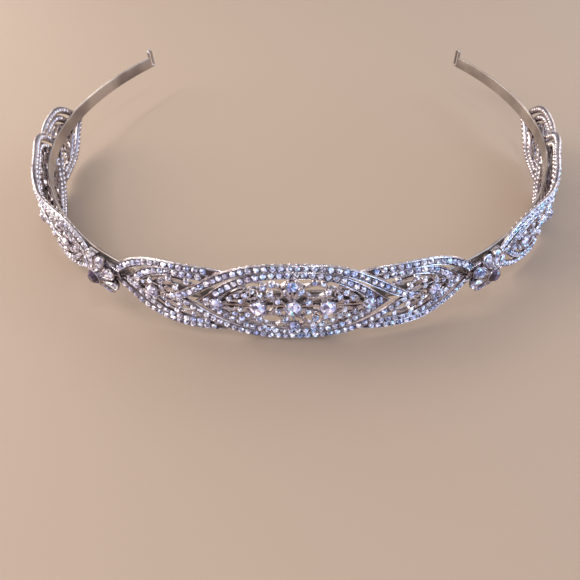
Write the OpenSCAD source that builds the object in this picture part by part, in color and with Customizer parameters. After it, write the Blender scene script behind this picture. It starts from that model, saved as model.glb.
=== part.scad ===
// Crystal tiara: a sprung steel headband that carries three openwork panels and two rosettes.
// Every panel is a pointed centre frame between two half-hidden side frames, set with cut stones.
// Millimetres. +X runs across the head, +Z up, and the front of the tiara faces -Y.

/* [Headband] */
// Radius of the flat middle of the front
front_r = 122; // [110:1:140]
// Radius of the shoulder where the front turns
shoulder_r = 40; // [38:1:44]
// Radius of the bend beside the temple
temple_r = 62; // [58:1:66]
// Radius of the long side
side_r = 81; // [78:1:84]
// Radius of the back stretch that ends at the tip
back_r = 112; // [105:1:118]
// Height of the steel strip
strip_h = 3.5; // [3:0.1:4]
// Thickness of the steel strip
strip_t = 0.7; // [0.6:0.05:0.8]
// Outward lean of the whole wall, degrees from upright
lean = 6; // [4:0.5:8]
// How far the wall curves back toward the head at its top and bottom edges
bow = 0.5; // [0:0.1:1]

/* [Panels] */
// Half length of the centre frame
centre_l = 27.5; // [26:0.5:29]
// Half height of the centre frame
centre_h = 11.2; // [10.8:0.1:11.6]
// Half length of a side frame
flank_l = 23; // [22:0.5:24]
// Half height of a side frame
flank_h = 9.6; // [9.2:0.1:10]
// Distance from the panel's middle to a side frame's middle
flank_s = 22.5; // [22:0.1:23]
// Width of one stone-set row
row_w = 1.8; // [1.7:0.05:1.9]
// Size of the two side panels against the front one
side_k = 0.94; // [0.92:0.01:0.96]
// Distance along the band from the front to a side panel's middle
side_s = 89.5; // [89:0.5:91]
// How far the castings stand off the strip beside the temples
stand_off = 2.2; // [0:0.2:2.6]
// Thickness of the cast centre frames
centre_t = 1; // [0.9:0.05:1.3]
// Thickness of the cast side frames
flank_t = 0.8; // [0.7:0.05:0.95]

/* [Stones] */
// Diameter of a row stone
pave_d = 1.4; // [1.3:0.05:1.45]
// Spacing of the row stones
pave_pitch = 1.65; // [1.6:0.05:1.8]
// Height of a row stone above the casting
pave_h = 0.55; // [0.5:0.05:0.6]

/* [Rosettes] */
// Distance along the band from the front to a rosette's middle
rosette_s = 45.4; // [45:0.1:45.8]
// Diameter of the raised middle stone
rosette_d = 3.5; // [3.3:0.1:3.7]
// Diameter of a petal stone
petal_d = 2.4; // [2.2:0.1:2.45]

/* [Hidden] */
$fn = 48;
// Gap left between pieces that meet, and between castings that curve past each other
gap = 0.1;
curve_gap = 0.16;
// Step between the layers of one casting, so that crossing wires never share a face
layer = 0.08;
// Height on the wall at which the bow is measured
bow_h = 11;
// Where the castings stand off the strip: middle of the stretch along the band, and half its length
stand_s = 71;
stand_l = 18;
// Half of the stretch over which the wall's direction is taken
slope_step = 0.05;
// Arcs of half the band from the front to the tip: radius, angle
ARCS = [[front_r, 8], [shoulder_r, 17], [temple_r, 18], [side_r, 50], [back_r, 27]];
// Where each arc begins: distance along, x, y, heading
STARTS = [for (i = 0, s = 0, x = 0, y = 0, t = 0; i <= len(ARCS);
    r = ARCS[min(i, len(ARCS) - 1)][0], a = ARCS[min(i, len(ARCS) - 1)][1],
    s = s + r * a * PI / 180, x = x + r * (sin(t + a) - sin(t)), y = y + r * (cos(t) - cos(t + a)),
    t = t + a, i = i + 1) [s, x, y, t]];
band_end = STARTS[len(ARCS)][0];
strip_out = strip_t / 2 + curve_gap;
centre_front = strip_out + centre_t;
flank_front = strip_out + flank_t;
// Height of the panels' middle lines against the strip, so that all three stand on the table
front_drop = -1.2;
side_drop = front_drop - centre_h * (1 - side_k);
// Height of the strip's middle line above the table, the front frame standing on its lower edge
foot_h = front_drop - centre_h;
band_z = -foot_h * cos(lean) + (centre_front - bow * pow(foot_h / bow_h, 2)) * sin(lean);
// Thickness, length and height of the wire loop at each tip, its length inside the strip,
// and how far its middle stands above the strip's
loop_wire = 0.8;
loop_l = 2.3;
loop_h = 6.2;
loop_sunk = 0.2;
loop_up = 1.3;
// Width of an openwork wire, and height of a main stone's seat above the casting
wire_w = 0.8;
seat_rise = 0.4;
// Proportions of a main stone: its table's radius and its height against the diameter
table_r = 0.29;
crown = 0.3;
// Height on the frame and diameter of the front panel's top stone, the part's frontmost piece
top_stone = [6, 2.6];
// Depth from the top stone's table to the tip loops, halved to centre the part on its base
top_h = front_drop + top_stone[0];
top_o = centre_front + seat_rise + gap + crown * top_stone[1] - bow * pow(top_h / bow_h, 2);
front_out = (top_h + table_r * top_stone[1] * cos(22.5)) * sin(lean) + top_o * cos(lean);
tip = STARTS[len(ARCS)];
back_y = tip[2] + (loop_l - loop_sunk) * sin(tip[3])
    - cos(tip[3]) * (loop_wire / 2 * cos(lean) + (loop_up + (loop_h - loop_l) / 2) * sin(lean));
band_y = (front_out - back_y) / 2;
// Height of the openwork's middle line against the frame's
mid_h = -0.5;
// Steps of the strip's skin: degrees of turn
strip_step = 4;
// Rosette: height on the wall, height of its stem, place outward, ring of the petals, cup heights, wall and depth
rosette_h = -2;
stem_h = 0.4;
rosette_o = flank_front + curve_gap;
petal_ring = 3.95;
petal_h = 1.6;
cone_top = 3.2;
cup_wall = 0.3;
cup_deep = 0.5;

// Panels: name, distance along, drop, size, names of the two sides
PANELS = [["front", 0, front_drop, 1, ["left", "right"]],
    ["left", -side_s, side_drop, side_k, ["far", "near"]],
    ["right", side_s, side_drop, side_k, ["near", "far"]]];
// Stones along a panel's middle line: name, side, distance along, height, diameter
CENTRE_STONES = [["centre", 0, 0, mid_h, 3.6],
    ["inner", -1, 7.3, mid_h, 3.5], ["inner", 1, 7.3, mid_h, 3.5],
    ["top", 0, 0, top_stone[0], top_stone[1]], ["bottom", 0, 0, -6.2, 2.4],
    ["tip", -1, 16, 0.2, 2.7], ["tip", 1, 16, 0.2, 2.7]];
FLANK_STONES = [["flank", -1, 30.6, 0, 2.7], ["flank", 1, 30.6, 0, 2.7],
    ["outer", -1, 34.8, 0, 1.9], ["outer", 1, 34.8, 0, 1.9]];
// Openwork of a quarter of a centre frame: along, height, half length, half height, turn, sides;
// the link gives the place along and the height of both ends
OVALS = [[4.2, 3.7, 2.9, 2.6, 0, 8]];
LEAVES = [[11.2, 2.5, 2.7, 1.2, -28, 6], [7.9, 3.5, 1.4, 1.3, 0, 6]];
LINK = [12.6, 1.4, 15, 0.5];
// Bars of a centre frame, each with its opposite: along and height of both ends
CENTRE_BARS = [[0.5, 0, 7, 0], [8, 0, 15.6, 0], [16, 0, 20, 0], [0, 1, 0, 8]];
// Bars along the middle of a side frame: distance along of both ends
FLANK_BARS = [[28.6, 30.4], [30.8, 34.6], [35, 38.5]];
// Vine of a side frame from the centre frame to the tip: distance along, height
VINE = [[19.5, 3.6], [24.5, 5], [28.8, 4.1], [31.5, 2.2], [37.4, 0.6]];

// Distances along the strip at which its skin has a section
half_run = concat([for (i = [0 : len(ARCS) - 1]) let (n = ceil(ARCS[i][1] / strip_step))
    for (k = [0 : n - 1]) STARTS[i][0] + k / n * ARCS[i][0] * ARCS[i][1] * PI / 180], band_end);
strip_run = concat([for (i = [len(half_run) - 1 : -1 : 1]) -half_run[i]], half_run);

// A place on the band: x, y and heading at a distance along, negative to the left
function station(s) = let (a = min(abs(s), band_end + 5),
    i = max([for (k = [0 : len(ARCS) - 1]) if (STARTS[k][0] <= a) k]),
    b = STARTS[i], r = ARCS[i][0], t = b[3] + (a - b[0]) / r * 180 / PI)
    [sign(s) * (b[1] + r * (sin(t) - sin(b[3]))), band_y + b[2] + r * (cos(b[3]) - cos(t)), sign(s) * t];

// How far a casting stands off the strip there
function stand(s) = stand_off * pow(max(0, 1 - pow((abs(s) - stand_s) / stand_l, 2)), 2);

// A point of the band wall: distance along, height on the wall, distance outward
function at(p) = let (c = station(p[0]),
    o = p[2] - bow * pow(p[1] / bow_h, 2) + (p[2] < strip_out ? 0 : stand(p[0])),
    g = p[1] * sin(lean) + o * cos(lean))
    [c[0] + g * sin(c[2]), c[1] - g * cos(c[2]), band_z + p[1] * cos(lean) - o * sin(lean)];

// Axes at a point of the wall: along, up the wall, outward
function axes(p) = let (t = station(p[0])[2], step = [slope_step, 0, 0],
    run = at([p[0], 0, p[2]] + step) - at([p[0], 0, p[2]] - step), along = run / norm(run),
    up = [sin(t) * sin(lean), -cos(t) * sin(lean), cos(lean)])
    [along, up, cross(along, up)];

// Matrix that puts a piece modelled flat at a point of the wall
function seat(p) = let (o = at(p), e = axes(p))
    [[e[0][0], e[1][0], e[2][0], o[0]], [e[0][1], e[1][1], e[2][1], o[1]],
     [e[0][2], e[1][2], e[2][2], o[2]], [0, 0, 0, 1]];

// Pointed oval outline: x from -1 to 1 across it, fuller with a higher power and a lower taper
function pointed(x, power, taper) = pow(max(0, 1 - pow(abs(x), power)), taper);

// Closed pointed oval: half length, half height, power, taper, steps a side
function oval_path(l, h, power, taper, n) = [for (i = [0 : 2 * n - 1])
    let (x = cos(180 * i / n)) [l * x, (i <= n ? 1 : -1) * h * pointed(x, power, taper)]];

// The four outlines of a panel's rows, outer edge and inner edge
function row_path(l, h, power, taper, inset, n) =
    oval_path(l - 1.8 * inset, h - inset, power, taper, n);
function outer_row(inset, n) = row_path(centre_l, centre_h, 3, 1.75, inset, n);
function inner_row(inset, n) = row_path(centre_l - 7, centre_h - row_w + 0.1, 2.8, 1.2, inset, n);
function flank_outer(inset, n) = row_path(flank_l, flank_h, 3, 1.75, inset, n);
function flank_inner(inset, n) = row_path(flank_l - 6, flank_h - row_w + 0.1, 2.8, 1.2, inset, n);

// A panel's own flat coordinates moved onto the band
function on_panel(m, path, ds = 0) = [for (p = path) [m[1] + m[3] * (p[0] + ds), m[2] + m[3] * p[1]]];

// Points at equal steps along a closed path
function path_sums(path) = [for (i = 0, d = 0; i <= len(path);
    d = d + norm(path[(i + 1) % len(path)] - path[i % len(path)]), i = i + 1) d];
function spaced(path, pitch) = let (d = path_sums(path), n = len(path),
    count = floor(d[n] / pitch))
    [for (k = [0 : count - 1]) let (t = (k + 0.5) * d[n] / count,
        i = max([for (j = [0 : n - 1]) if (d[j] <= t) j]), f = (t - d[i]) / (d[i + 1] - d[i]))
        path[i] * (1 - f) + path[(i + 1) % n] * f];

// A skin over rings of wall points, closed with end caps or into a loop
module loft(rings, loop = false) {
    m = len(rings[0]);
    n = len(rings);
    points = [for (ring = rings) for (p = ring) at(p)];
    sides = [for (i = [0 : n - (loop ? 1 : 2)]) for (j = [0 : m - 1])
        let (a = i * m, b = ((i + 1) % n) * m, k = (j + 1) % m)
        each [[a + j, b + k, b + j], [a + j, a + k, b + k]]];
    caps = loop ? [] : [for (j = [1 : m - 2]) each [[0, j + 1, j],
        [(n - 1) * m, (n - 1) * m + j, (n - 1) * m + j + 1]]];
    polyhedron(points, concat(sides, caps), convexity = 10);
}

// A ring between two outlines, from the strip side to the front, a number of layers down
module ring_plate(outer, inner, front, k = 0) {
    low = strip_out + k * layer;
    high = front - k * layer;
    loft([for (i = [0 : len(outer) - 1]) [concat(outer[i], high), concat(inner[i], high),
        concat(inner[i], low), concat(outer[i], low)]], loop = true);
}

// A filled plate with one outline
module plate(outline, low, high) {
    loft([[for (p = outline) concat(p, high)], [for (p = outline) concat(p, low)]]);
}

// Round outline with a number of sides
function circle_path(c, r, sides) = [for (i = [0 : sides - 1])
    c + r * [cos(360 * i / sides), sin(360 * i / sides)]];

// A straight bar between two places of a panel
module bar(m, a, b, w, front, k) {
    hull()
        for (p = on_panel(m, [a, b]))
            plate(circle_path(p, w / 2, 4), strip_out + k * layer, front - k * layer);
}

// An oval wire loop of a panel, turned in its own plane
module wire_oval(m, row, sx, sy, front, k) {
    turn = row[4] * sx * sy;
    n = row[5];
    function path(a, b) = on_panel(m, [for (i = [0 : n - 1])
        let (x = a * cos(360 * i / n), y = b * sin(360 * i / n))
        [sx * row[0] + x * cos(turn) - y * sin(turn), sy * row[1] + mid_h + x * sin(turn) + y * cos(turn)]]);
    ring_plate(path(row[2], row[3]), path(row[2] - wire_w, row[3] - wire_w), front, k);
}

// A filled pad, longer one way and turned in its own plane
module pad(m, row, sx, sy, front, k) {
    turn = row[4] * sx * sy;
    n = row[5];
    path = [for (i = [0 : n - 1]) let (x = row[2] * cos(360 * i / n), y = row[3] * sin(360 * i / n))
        [sx * row[0] + x * cos(turn) - y * sin(turn), sy * row[1] + mid_h + x * sin(turn) + y * cos(turn)]];
    plate(on_panel(m, path), strip_out + k * layer, front - k * layer);
}

// Raised seat under a main stone
module stone_seat(m, stone, front) {
    c = on_panel(m, [[stone[1] * stone[2], stone[3]]])[0];
    r = m[3] * stone[4] / 2;
    loft([[for (q = circle_path(c, r + 0.2, 8)) concat(q, front + seat_rise)],
        [for (q = circle_path(c, r + 0.35, 8)) concat(q, strip_out + 4 * layer)]]);
}

// Steel strip and the wire loop at each tip
module headband() {
    color("silver") {
        loft([for (s = strip_run) [[s, -strip_h / 2, strip_t / 2], [s, strip_h / 2, strip_t / 2],
            [s, strip_h / 2, -strip_t / 2], [s, -strip_h / 2, -strip_t / 2]]]);
        for (side = [-1, 1])
            multmatrix(seat([side * band_end, 0, 0]))
                translate([side * (loop_l / 2 - loop_sunk), loop_up, -loop_wire / 2])
                    linear_extrude(loop_wire)
                        difference() {
                            loop_outline(0);
                            loop_outline(loop_wire);
                        }
    }
}

// Outline of a tip loop, drawn smaller by the wire for its hole
module loop_outline(wire) {
    w = loop_l - 2 * wire;
    h = loop_h - 2 * wire;
    translate([-w / 2, -(h - w) / 2])
        square([w, h - w]);
    for (y = [-1, 1])
        translate([0, y * (h - w) / 2])
            circle(d = w);
}

// Centre frame of a panel: two pointed rows, oval loops, leaves, stone seats and a middle bar
module centre_frame(m) {
    color("silver") {
        ring_plate(on_panel(m, outer_row(0, 12)), on_panel(m, outer_row(row_w, 12)), centre_front);
        ring_plate(on_panel(m, inner_row(0, 10)), on_panel(m, inner_row(row_w, 10)), centre_front, 1);
        for (sx = [-1, 1]) {
            for (sy = [-1, 1]) {
                for (row = OVALS)
                    wire_oval(m, row, sx, sy, centre_front, 2);
                for (i = [0 : len(LEAVES) - 1])
                    pad(m, LEAVES[i], sx, sy, centre_front, 3 + 2 * i);
                bar(m, [sx * LINK[0], sy * LINK[1] + mid_h], [sx * LINK[2], sy * LINK[3] + mid_h], wire_w,
                    centre_front, 6);
            }
            for (run = CENTRE_BARS)
                bar(m, [sx * run[0], sx * run[1] + mid_h], [sx * run[2], sx * run[3] + mid_h], wire_w,
                    centre_front, 4);
        }
        for (stone = CENTRE_STONES)
            stone_seat(m, stone, centre_front);
    }
}

// Side frame of a panel, cut back where the centre frame lies over it
module flank_frame(m, side) {
    ds = side * flank_s;
    color("silver")
        difference() {
            union() {
                ring_plate(on_panel(m, flank_outer(0, 12), ds), on_panel(m, flank_outer(row_w, 12), ds),
                    flank_front);
                ring_plate(on_panel(m, flank_inner(0, 9), ds), on_panel(m, flank_inner(row_w, 9), ds),
                    flank_front, 1);
                for (sy = [-1, 1])
                    for (i = [0 : len(VINE) - 2])
                        bar(m, [side * VINE[i][0], sy * VINE[i][1]],
                            [side * VINE[i + 1][0], sy * VINE[i + 1][1]], wire_w, flank_front, 2);
                for (run = FLANK_BARS)
                    bar(m, [side * run[0], 0], [side * run[1], 0], wire_w, flank_front, 3);
                for (stone = FLANK_STONES)
                    if (stone[1] == side)
                        stone_seat(m, stone, flank_front);
            }
            plate(on_panel(m, row_path(centre_l, centre_h, 3, 1.75, -gap, 12)), -2, 6);
        }
}

// A cut stone with a flat table: eight-sided crown above the girdle, pavilion below
module cut_stone(d, n = 8, rise = crown, depth = 0.1) {
    function level(r, z, turn) = [for (i = [0 : n - 1]) let (a = 360 * (i + turn) / n)
        [r * d * cos(a), r * d * sin(a), z * d]];
    points = concat(level(table_r, depth + rise, 0.5), level(0.5, depth, 0), depth > 0 ? level(0.38, 0, 0) : []);
    m = len(points) / n;
    polyhedron(points, concat([[for (i = [n - 1 : -1 : 0]) i]],
        [for (k = [0 : m - 2]) for (i = [0 : n - 1]) let (a = k * n, b = a + n, j = (i + 1) % n)
            each [[a + i, b + j, b + i], [a + i, a + j, b + j]]],
        [[for (i = [0 : n - 1]) (m - 1) * n + i]]));
}

// One main stone of a panel on its seat
module panel_stone(m, stone, front) {
    p = on_panel(m, [[stone[1] * stone[2], stone[3]]])[0];
    color("lavender")
        multmatrix(seat([p[0], p[1], front + seat_rise + gap]))
            cut_stone(m[3] * stone[4], 8, crown, 0);
}

// A row of small stones as one skin of many closed shells
module pave(places, front) {
    n = 8;
    shell = [for (i = [0 : n - 1]) each [[i, n + (i + 1) % n, n + i], [i, (i + 1) % n, n + (i + 1) % n]],
        for (i = [1 : n - 2]) each [[0, i + 1, i], [n, n + i, n + i + 1]]];
    function corners(p) = let (o = at([p[0], p[1], front]), e = axes([p[0], p[1], front]))
        [for (level = [[table_r, 0.5, pave_h], [0.5, 0, 0]]) for (i = [0 : n - 1])
            let (a = 360 * (i + level[1]) / n, r = level[0] * pave_d)
            o + r * cos(a) * e[0] + r * sin(a) * e[1] + level[2] * e[2]];
    color("lavender")
        polyhedron([for (p = places) each corners(p)],
            [for (k = [0 : len(places) - 1]) for (f = shell) f + 2 * n * k * [1, 1, 1]]);
}

// Rosette setting: base plate and stem, ring of petal cups and a tall middle cone
module rosette(side) {
    color("silver")
        multmatrix(seat([side * rosette_s, rosette_h, rosette_o])) {
            cylinder(r = petal_ring, h = 0.8);
            translate([0, stem_h - rosette_h, strip_out - rosette_o])
                cylinder(r = 0.9, h = rosette_o - strip_out + 0.2);
            difference() {
                union() {
                    cylinder(r1 = 1.7, r2 = rosette_d / 2 + cup_wall, h = cone_top);
                    for (i = [0 : 7])
                        petal_seat(i)
                            cylinder(d = petal_d + 2 * cup_wall, h = petal_h);
                }
                for (i = [0 : 7])
                    petal_seat(i)
                        translate([0, 0, petal_h - cup_deep])
                            cylinder(d = petal_d + 2 * gap, h = 1);
                translate([0, 0, cone_top - cup_deep])
                    cylinder(d = rosette_d + 2 * gap, h = 1);
            }
        }
}

// Place of one petal cup on the rosette
module petal_seat(i) {
    rotate([0, 0, 45 * i + 22.5])
        translate([petal_ring, 0, 0.2])
            rotate([0, 20, 0])
                children();
}

// Raised middle stone of a rosette
module rosette_stone(side) {
    color("slateblue")
        multmatrix(seat([side * rosette_s, rosette_h, rosette_o + cone_top - cup_deep + gap]))
            cut_stone(rosette_d, 12);
}

// Eight petal stones of a rosette
module petal_stones(side) {
    color("lightsteelblue")
        multmatrix(seat([side * rosette_s, rosette_h, rosette_o]))
            for (i = [0 : 7])
                petal_seat(i)
                    translate([0, 0, petal_h - cup_deep + gap])
                        cut_stone(petal_d, 8, crown, 0);
}

// Names of the pieces that repeat
function frame_name(m, side) = str(m[0], "_", m[4][side < 0 ? 0 : 1], "_frame");
function stone_name(m, stone) = str(m[0], "_stone_",
    stone[1] == 0 ? "" : str(m[4][stone[1] < 0 ? 0 : 1], "_"), stone[0]);
SIDES = [["left", -1], ["right", 1]];

headband();
for (m = PANELS) {
    centre_frame(m);
    for (side = [-1, 1])
        flank_frame(m, side);
    for (stone = CENTRE_STONES)
        panel_stone(m, stone, centre_front);
    for (stone = FLANK_STONES)
        panel_stone(m, stone, flank_front);
}
for (s = SIDES) {
    rosette(s[1]);
    rosette_stone(s[1]);
    petal_stones(s[1]);
}
pave(spaced(on_panel(PANELS[0], outer_row(row_w / 2, 40)), pave_pitch), centre_front + gap);  // front_row_stones
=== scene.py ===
"""Dresses the crystal tiara: castings, collets, cut stones, the sprung band and a plain studio."""

from __future__ import annotations

import logging
import math
import random
from contextlib import contextmanager
from dataclasses import dataclass
from enum import Enum
from typing import Iterable, Iterator, Sequence

import bpy
import numpy as np
from mathutils import Matrix, Vector

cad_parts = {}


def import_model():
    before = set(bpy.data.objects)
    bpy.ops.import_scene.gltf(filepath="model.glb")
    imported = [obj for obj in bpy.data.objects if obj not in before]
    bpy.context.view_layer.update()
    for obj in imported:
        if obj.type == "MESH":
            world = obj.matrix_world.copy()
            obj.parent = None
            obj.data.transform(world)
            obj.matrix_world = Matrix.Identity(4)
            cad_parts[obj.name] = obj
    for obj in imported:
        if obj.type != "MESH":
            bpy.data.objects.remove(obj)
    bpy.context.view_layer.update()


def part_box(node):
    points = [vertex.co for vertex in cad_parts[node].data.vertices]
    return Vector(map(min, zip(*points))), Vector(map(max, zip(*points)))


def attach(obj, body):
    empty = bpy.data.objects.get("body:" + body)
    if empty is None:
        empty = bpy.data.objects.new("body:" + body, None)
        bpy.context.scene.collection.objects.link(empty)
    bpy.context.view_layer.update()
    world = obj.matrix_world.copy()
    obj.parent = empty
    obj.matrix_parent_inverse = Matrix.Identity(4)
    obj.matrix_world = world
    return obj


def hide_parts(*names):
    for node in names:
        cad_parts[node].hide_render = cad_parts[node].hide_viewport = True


Obj = bpy.types.Object
Material = bpy.types.Material
Socket = bpy.types.NodeSocket
Place = tuple[float, float]
Run = tuple[Place, ...]
Colour = tuple[float, float, float]
Stops = tuple[tuple[float, Colour], ...]
Triple = tuple[float, float, float]
Leaf = tuple[Place, Place, float]

log = logging.getLogger("tiara")
BODY = "root"
MM = 0.001
SIDES = (-1, 1)
BLACK = (0, 0, 0)

# Distances outward from the middle of the strip, in millimetres
BACK = 0.51
CENTRE_FRONT = 1.51
SIDE_FRONT = 1.31


class Slot(Enum):
    """The record's material slots."""

    METAL = "silver_metal"
    CRYSTAL = "crystal"
    DARK = "dark_crystal"


# The band and its panels


def around(steps: int) -> np.ndarray:
    """Even angles round a full turn, in radians."""
    return np.linspace(0, 2 * math.pi, steps, endpoint=False)


def straight(start: float, end: float, steps: int) -> np.ndarray:
    """Even places along the panel's middle line, as rows of x and y."""
    return np.stack([np.linspace(start, end, steps), np.zeros(steps)], 1)


def lift(places: np.ndarray, out: float) -> np.ndarray:
    """Places on the wall with one distance outward added to each."""
    return np.concatenate([places, np.full((len(places), 1), out)], 1)


@dataclass(frozen=True)
class Band:
    """The wall that every piece lies on, by distance along, height and distance out, in mm.

    Its plan is a run of arcs from the front to a tip, as radius and degrees. The castings stand off
    the strip by stand_off at stand_s, and less up to stand_l to either side.
    """

    arcs: Run = ((122, 8), (40, 17), (62, 18), (81, 50), (112, 27))
    lean: float = math.radians(6)
    bow: float = 0.5
    bow_h: float = 11
    centre_h: float = 11.2
    front_drop: float = -1.2
    stand_off: float = 2.2
    stand_s: float = 71
    stand_l: float = 18
    middle_y: float = 0.0

    def starts(self) -> np.ndarray:
        """Where the arcs start.

        Returns:
            A row of distance, x, y and heading for each arc, and one for the tip.
        """
        rows = [(0.0, 0.0, 0.0, 0.0)]
        for r, degrees in self.arcs:
            s, x, y, t = rows[-1]
            a = math.radians(degrees)
            x += r * (math.sin(t + a) - math.sin(t))
            y += r * (math.cos(t) - math.cos(t + a))
            rows.append((s + r * a, x, y, t + a))
        return np.array(rows)

    @property
    def end(self) -> float:
        """Distance along the band from the front to a tip."""
        return float(self.starts()[-1][0])

    @property
    def z(self) -> float:
        """Height of the strip's middle line above the table.

        Returns:
            The height in millimetres.
        """
        foot = self.front_drop - self.centre_h
        out = CENTRE_FRONT - self.bow * (foot / self.bow_h) ** 2
        return -foot * math.cos(self.lean) + out * math.sin(self.lean)

    def station(self, s: np.ndarray) -> tuple[np.ndarray, np.ndarray, np.ndarray]:
        """The band's plan at distances along it.

        Args:
            s: Distances along the band, negative to the left.
        Returns:
            x, y and heading at each.
        """
        rows = self.starts()
        a = np.abs(s)
        k = np.clip(np.searchsorted(rows[:, 0], a, side="right") - 1, 0, len(self.arcs) - 1)
        r = np.array([arc[0] for arc in self.arcs], float)[k]
        b = rows[k]
        t = b[:, 3] + (a - b[:, 0]) / r
        side = np.where(s < 0, -1.0, 1.0)
        x = b[:, 1] + r * (np.sin(t) - np.sin(b[:, 3]))
        y = self.middle_y + b[:, 2] + r * (np.cos(b[:, 3]) - np.cos(t))
        return side * x, y, side * t

    def stand(self, s: np.ndarray) -> np.ndarray:
        """How far the castings stand off the strip at distances along it."""
        share = np.maximum(0, 1 - ((np.abs(s) - self.stand_s) / self.stand_l) ** 2) ** 2
        return self.stand_off * share

    def wrap(self, points: np.ndarray) -> np.ndarray:
        """Lays flat points on the wall.

        Args:
            points: Rows of distance along, height and distance outward, in millimetres.
        Returns:
            Rows of x, y, z in metres.
        """
        s, h, o = np.asarray(points, float).T
        x, y, t = self.station(s)
        off = np.where(o > BACK - 0.01, self.stand(s), 0)
        o = o - self.bow * (h / self.bow_h) ** 2 + off
        g = h * math.sin(self.lean) + o * math.cos(self.lean)
        z = self.z + h * math.cos(self.lean) - o * math.sin(self.lean)
        return np.stack([x + g * np.sin(t), y - g * np.cos(t), z], 1) * MM

    def seat(self, s: float, h: float, o: float) -> Matrix:
        """The place and turn of a piece modelled flat: X along, Y up the wall, Z outward.

        Args:
            s: Distance along the band.
            h: Height on the wall.
            o: Distance outward.
        Returns:
            The matrix, in metres.
        """
        near = np.array([[s - 0.05, h, o], [s, h, o], [s + 0.05, h, o]])
        before, origin, after = (Vector(p) for p in self.wrap(near))
        along = (after - before).normalized()
        t = float(self.station(np.array([s]))[2][0])
        flat = math.sin(self.lean)
        up = Vector((math.sin(t) * flat, -math.cos(t) * flat, math.cos(self.lean)))
        axes = Matrix((along, up, along.cross(up))).transposed()
        return Matrix.Translation(origin) @ axes.to_4x4()

    def skin(self, rails: Sequence[np.ndarray], loop: bool = False) -> Obj:
        """A closed skin on the wall through flat rails, whose ends meet if it is a loop."""
        flat = np.stack(rails, 1)
        return Bench.skin(self.wrap(flat.reshape(-1, 3)).reshape(flat.shape), loop)


@dataclass(frozen=True)
class Outline:
    """A pointed oval that a row of stones follows; its points draw in faster than its sides."""

    half_length: float
    half_height: float
    power: float
    taper: float
    centre: float = 0.0
    draw_in: float = 1.8

    def loop(self, inset: float, steps: int) -> np.ndarray:
        """The closed outline.

        Args:
            inset: How much smaller it is drawn.
            steps: Number of steps a side.
        Returns:
            Its places in order.
        """
        i = np.arange(2 * steps)
        u = np.cos(np.pi * i / steps)
        h = (self.half_height - inset) * (1 - np.minimum(1, np.abs(u)) ** self.power) ** self.taper
        x = self.centre + (self.half_length - self.draw_in * inset) * u
        return np.stack([x, np.where(i <= steps, h, -h)], 1)

    def holds(self, x: float, y: float, margin: float) -> bool:
        """Whether a place lies inside the outline drawn larger by a margin."""
        u = abs(x - self.centre) / (self.half_length + self.draw_in * margin)
        return u < 1 and abs(y) < (self.half_height + margin) * (1 - u**self.power) ** self.taper


@dataclass(frozen=True)
class Panel:
    """One panel on the band."""

    name: str
    along: float
    drop: float
    size: float
    sides: tuple[str, str]

    def place(self, xy: np.ndarray) -> np.ndarray:
        """Panel coordinates moved onto the band, as distance along and height."""
        return np.asarray(xy, float) * self.size + np.array([self.along, self.drop])

    def side(self, side: int) -> str:
        """The name of its left or right half."""
        return self.sides[0 if side < 0 else 1]


ROW_W = 1.8
CENTRE_OUTER = Outline(27.5, 11.2, 3, 1.75)
CENTRE_INNER = Outline(20.5, 9.5, 2.8, 1.2)
PANELS = (
    Panel("front", 0, -1.2, 1, ("left", "right")),
    Panel("left", -89.5, -1.872, 0.94, ("far", "near")),
    Panel("right", 89.5, -1.872, 0.94, ("near", "far")),
)


# Modelling


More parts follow.
